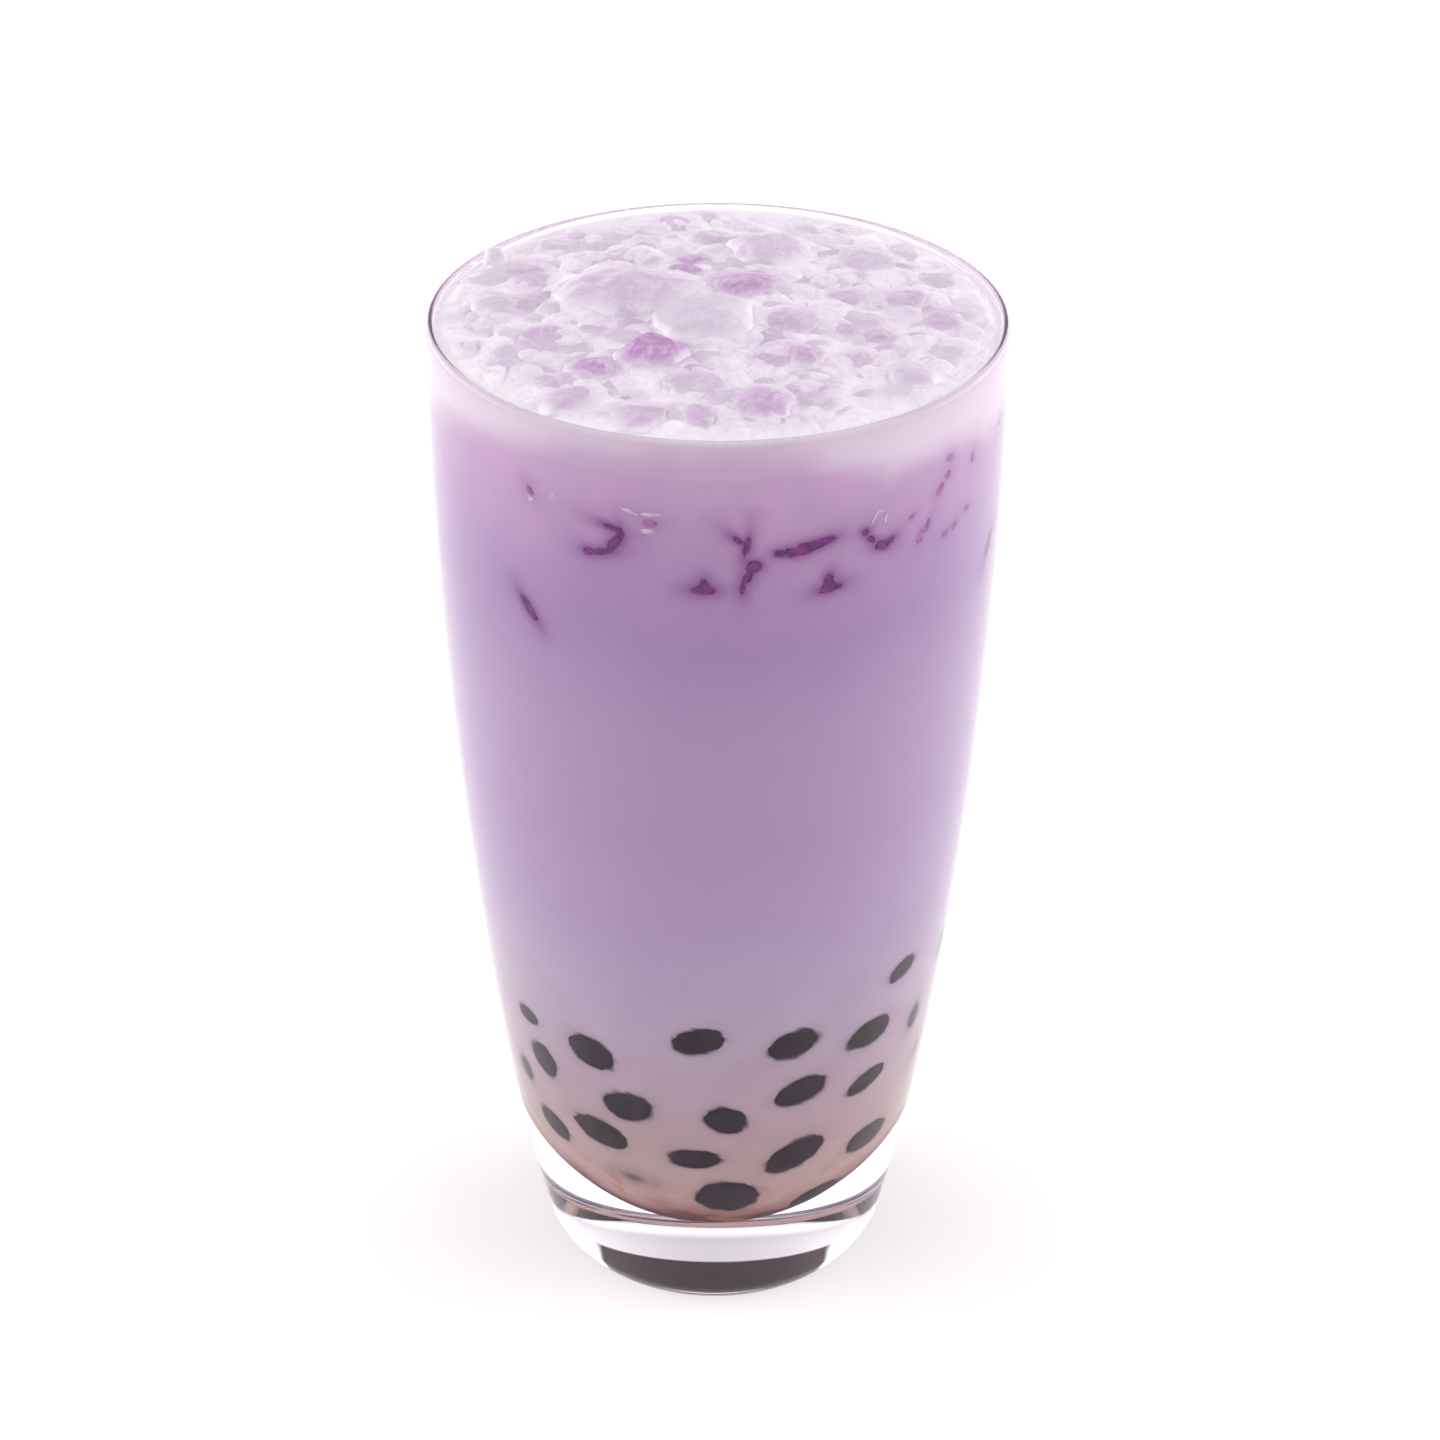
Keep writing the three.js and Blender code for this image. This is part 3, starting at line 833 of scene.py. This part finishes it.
CLEAR_ICE, PLUM_ICE = (0.555, 0.482, 0.575), (0.37, 0.185, 0.39)
FROST, FROTHY_SKIRT = (0.70, 0.645, 0.72), (0.72, 0.665, 0.735)
wet_ice, tree, shader = new_material("wet_crushed_ice", (0.6, 0.5, 0.62), 0.38)
shader.inputs["Specular IOR Level"].default_value = 0.3
shader.inputs["Coat Weight"].default_value = 0.12
shader.inputs["Coat Roughness"].default_value = 0.15
place = add_node(tree, "TexCoord", {}).outputs["Object"]
sockets = {"Scale": 520, "Detail": 9, "Roughness": 0.72, "Distortion": 1.2}
cloud = add_node(tree, "TexNoise", {"Vector": place, **sockets}).outputs["Fac"]
tint = ramp(tree, attribute(tree, "plum"), [(0, CLEAR_ICE), (1, PLUM_ICE)])
frosted = mixed(tree, ranged(tree, cloud, 0.45, 0.70, 0.0, 0.5), tint, FROST)
skirted = mixed(tree, attribute(tree, "bare"), FROTHY_SKIRT, frosted)
grain = add_node(tree, "Bump", {"Height": cloud, "Strength": 0.6, "Distance": 0.0004})
tree.links.new(skirted, shader.inputs["Base Color"])
tree.links.new(grain.outputs["Normal"], shader.inputs["Normal"])
ice.data.materials.append(wet_ice)
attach(ice, "root")
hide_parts("crushed_ice_and_froth")

# Froth: whipped milk foam that fills the glass to just under the rim and climbs a little up each
# lump of ice. It is spun like the drink, then its top is raised point by point into soft lumps.
FROTH_RING = 0.00034
FROTH_SEGMENTS = 300
FROTH_SIDE_RINGS = 12
FROTH_WAVE = 0.00035
# waves by share, size and seed, and mounds by spacing, height and seed
WAVES = [(0.6, 0.0075, 21), (0.4, 0.0032, 22), (0.18, 0.0014, 23)]
MOUNDS = [(0.0066, 0.0009, 31), (0.0040, 0.0005, 57)]
MOUND_FLOOR = 0.0004
FLAT_EDGE = 0.0025
CLIMB_SHARE, CLIMB_FROM, CLIMB_FADE = 0.40, 0.95, 0.30
# painted shade on the froth round the foot of each lump of ice, darker round plum lumps
FOOT_SHADE_LEAST, FOOT_SHADE_PLUM, FOOT_SHADE_FROM, FOOT_SHADE_FADE = 0.12, 0.7, 0.8, 0.40

froth_side = [FROTH_BOTTOM] + steps_between(FROTH_BOTTOM, FROTH_EDGE, FROTH_SIDE_RINGS)
froth_section = [(0, FROTH_BOTTOM)]
froth_section += [(bowl_radius(h) + WALL_OVERLAP, h) for h in froth_side]
froth_rim = bowl_radius(FROTH_EDGE) + WALL_OVERLAP
for radius in steps_between(froth_rim, 0, round(froth_rim / FROTH_RING)):
    froth_section.append((radius, froth_level(radius, 0)))
froth = spun("milk_froth", froth_section, FROTH_SEGMENTS)

coords = coords_of(froth.data)
flat = coords * np.array([1, 1, 0])
radius = np.hypot(coords[:, 0], coords[:, 1])
on_top = (coords[:, 2] > FROTH_EDGE - 1e-6).astype(float)
inward = smooth_step((froth_rim - radius) / FLAT_EDGE) * on_top
wave = sum(noise_at(flat, size, seed) * share for share, size, seed in WAVES)
mound = np.zeros(len(coords))
mound_tint = np.zeros(len(coords))
for spacing, height, seed in MOUNDS:
    for i in np.flatnonzero(inward > 0):
        cell = Vector((coords[i, 0], coords[i, 1], 0)) / spacing
        distances, middles = noise.voronoi(cell + Vector((seed, seed * 0.7, 0.5)))
        dome = max(0, 1 - (distances[0] / max(0.35, distances[1])) ** 2) ** 0.6
        mound[i] += height * dome
        own = noise.noise(Vector(middles[0]) * 5.3)
        mound_tint[i] = max(mound_tint[i], dome * max(0, min(1, 0.25 + 0.9 * own)))
climb = np.zeros(len(coords))
foot_shade = np.zeros(len(coords))
for x, y, length, width, turn, rise, plum in all_ice:
    lean = math.radians(turn)
    away = coords[:, :2] - np.array([x, y])
    along = away @ np.array([math.cos(lean), math.sin(lean)])
    across = away @ np.array([-math.sin(lean), math.cos(lean)])
    out = np.sqrt((along / (length / 2)) ** 2 + (across / (width / 2)) ** 2)
    up_lump = np.exp(-(np.maximum(0, out - CLIMB_FROM) / CLIMB_FADE) ** 2)
    climb = np.maximum(climb, CLIMB_SHARE * min(rise, length / 4) * up_lump)
    round_lump = np.exp(-(np.maximum(0, out - FOOT_SHADE_FROM) / FOOT_SHADE_FADE) ** 2)
    foot_shade = np.maximum(foot_shade, (FOOT_SHADE_LEAST + FOOT_SHADE_PLUM * plum) * round_lump)
relief = np.maximum(mound - MOUND_FLOOR, climb * (0.75 + 0.35 * wave))
coords[:, 2] += inward * (FROTH_WAVE * wave + relief)
froth.data.vertices.foreach_set("co", coords.astype(np.float32).ravel())
froth.data.update()
set_shade(froth, "pearl_shade", np.zeros(len(coords)))
set_shade(froth, "splinter_shade", splinter_shade(coords))
set_shade(froth, "froth_veil", froth_veil(coords))
# lilac tints at random on the mounds, and painted shade round the foot of each lump of ice
set_shade(froth, "tint_and_shade", np.maximum(0.75 * mound_tint * inward, foot_shade))
set_shade(froth, "open_top", on_top)

FOAM_WHITE, FOAM_TINT_AND_SHADE = (0.74, 0.69, 0.745), (0.45, 0.33, 0.48)
milk_froth, tree, shader = new_material("whipped_milk_froth", (0.72, 0.64, 0.74), 0.55)
place = add_node(tree, "TexCoord", {}).outputs["Object"]
sockets = {"Scale": 420, "Detail": 9, "Roughness": 0.72, "Distortion": 1.5}
streaks = add_node(tree, "TexNoise", {"Vector": place, **sockets}).outputs["Fac"]
marbling = ranged(tree, streaks, 0.46, 0.70, 0.0, 0.32)
# the foam darkens by the lilac tints, the painted shade and the marbling
tinted_and_shaded = maths(tree, "ADD", attribute(tree, "tint_and_shade"), marbling, clamp=True)
foam = mixed(tree, tinted_and_shaded, FOAM_WHITE, FOAM_TINT_AND_SHADE)
open_top = attribute(tree, "open_top")
whole = mixed(tree, open_top, drink_colour_in(tree), foam)
tree.links.new(whole, shader.inputs["Base Color"])
bubbles = add_node(tree, "TexVoronoi", {"Vector": place, "Scale": 1300}).outputs["Distance"]
on_open_top = maths(tree, "MULTIPLY", open_top, 0.35)
bump = add_node(tree, "Bump", {"Height": bubbles, "Strength": on_open_top, "Distance": 0.0003})
tree.links.new(bump.outputs["Normal"], shader.inputs["Normal"])
froth.data.materials.append(milk_froth)
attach(froth, "root")
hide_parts("crushed_ice_and_froth")

# The studio: a pale floor under the glass and soft white light, most of it from the sides and from
# behind. The dark end of the room lies behind too, high above the floor, and the thick base
# mirrors it. It isn't part of the object.
FLOOR_SIZE = 8
FLOOR_DROP = 0.00008
STUDIO_LIGHT = 2.75
FRONT_SHARE, SIDE_SHARE, BACK_LEAN = 0.28, 1.3, 0.28
# heights on the sky, from 0 at the horizon to 1 overhead
DARK_FROM, DARK_TO, DARK_SOFT = 0.30, 0.653, 0.005
GREY_TO, GREY_SOFT = 0.77, 0.04
HORIZON_FROM, HORIZON_TO = 0.16, 0.24
DARK_SAG = 0.14
DARK_ROOM = (0.026, 0.017, 0.022)
GREY_ROOM = (0.58, 0.545, 0.57)
WHITE_ROOM = (1, 1, 1)

bpy.ops.object.select_all(action="DESELECT")
bpy.ops.mesh.primitive_plane_add(size=FLOOR_SIZE, location=(0, 0, -FLOOR_DROP))
floor = bpy.context.object
floor.name = "floor"
pale_floor, tree, shader = new_material("pale_floor", (0.95, 0.95, 0.95), 0.9)
shader.inputs["Specular IOR Level"].default_value = 0
floor.data.materials.append(pale_floor)

studio = bpy.data.worlds.new("studio")
bpy.context.scene.world = studio
studio.use_nodes = True
tree = studio.node_tree
direction = add_node(tree, "TexCoord", {}).outputs["Generated"]
aside, back, above = add_node(tree, "SeparateXYZ", {0: direction}).outputs
off_middle = maths(tree, "MULTIPLY", aside, aside)
level = maths(tree, "MULTIPLY_ADD", off_middle, DARK_SAG, above)
grey_on = [(GREY_TO, GREY_ROOM), (GREY_TO + GREY_SOFT, WHITE_ROOM), (1, WHITE_ROOM)]
dark_room = ramp(tree, level, [
    (0, WHITE_ROOM), (DARK_FROM - DARK_SOFT, WHITE_ROOM), (DARK_FROM, DARK_ROOM),
    (DARK_TO, DARK_ROOM), (DARK_TO + DARK_SOFT, GREY_ROOM),
] + grey_on)
light_room = ramp(tree, level, [
    (0, WHITE_ROOM), (DARK_TO - GREY_SOFT, WHITE_ROOM), (DARK_TO, GREY_ROOM),
] + grey_on)
# the dark end of the room lies behind, and reaches half way round to either side
in_middle = ranged(tree, off_middle, 0.23, 0.27, 1, 0)
behind = maths(tree, "MULTIPLY", in_middle, ranged(tree, back, 0.0, 0.1, 0, 1))
backdrop = mixed(tree, behind, light_room, dark_room)
# the light grows towards either side and a little towards the back, and low down, where it shows
# past the floor, the backdrop is white all round
front, side = STUDIO_LIGHT * FRONT_SHARE, STUDIO_LIGHT * SIDE_SHARE
from_sides = maths(tree, "MULTIPLY_ADD", off_middle, side, front)
from_back = maths(tree, "MULTIPLY_ADD", back, STUDIO_LIGHT * BACK_LEAN, from_sides)
horizon = ranged(tree, above, HORIZON_FROM, HORIZON_TO, 1, 0)
strength = maths(tree, "MAXIMUM", from_back, horizon)
tree.links.new(backdrop, tree.nodes["Background"].inputs["Color"])
tree.links.new(strength, tree.nodes["Background"].inputs["Strength"])

# The camera: a long lens, a little above the rim, leaning as the photo's does. It and the render's
# light bounces aren't part of the object.
SENSOR, LENS = 36, 79.41
CAMERA_PLACE = (0.00055, -0.400, 0.33481)
LOOKS_DOWN, LEANS = 31.424, 0.31
NEAREST = 0.01
GLASS_BOUNCES = 24

camera = bpy.data.objects.new("camera", bpy.data.cameras.new("camera"))
bpy.context.collection.objects.link(camera)
camera.data.sensor_width = SENSOR
camera.data.lens = LENS
camera.data.clip_start = NEAREST
camera.location = CAMERA_PLACE
tip, roll = math.radians(90 - LOOKS_DOWN), math.radians(LEANS)
looking = Matrix.Rotation(tip, 3, "X") @ Matrix.Rotation(roll, 3, "Z")
camera.rotation_euler = looking.to_euler()
scene = bpy.context.scene
scene.camera = camera
scene.view_settings.view_transform = "Standard"
scene.cycles.max_bounces = GLASS_BOUNCES
scene.cycles.transmission_bounces = GLASS_BOUNCES
scene.cycles.transparent_max_bounces = GLASS_BOUNCES
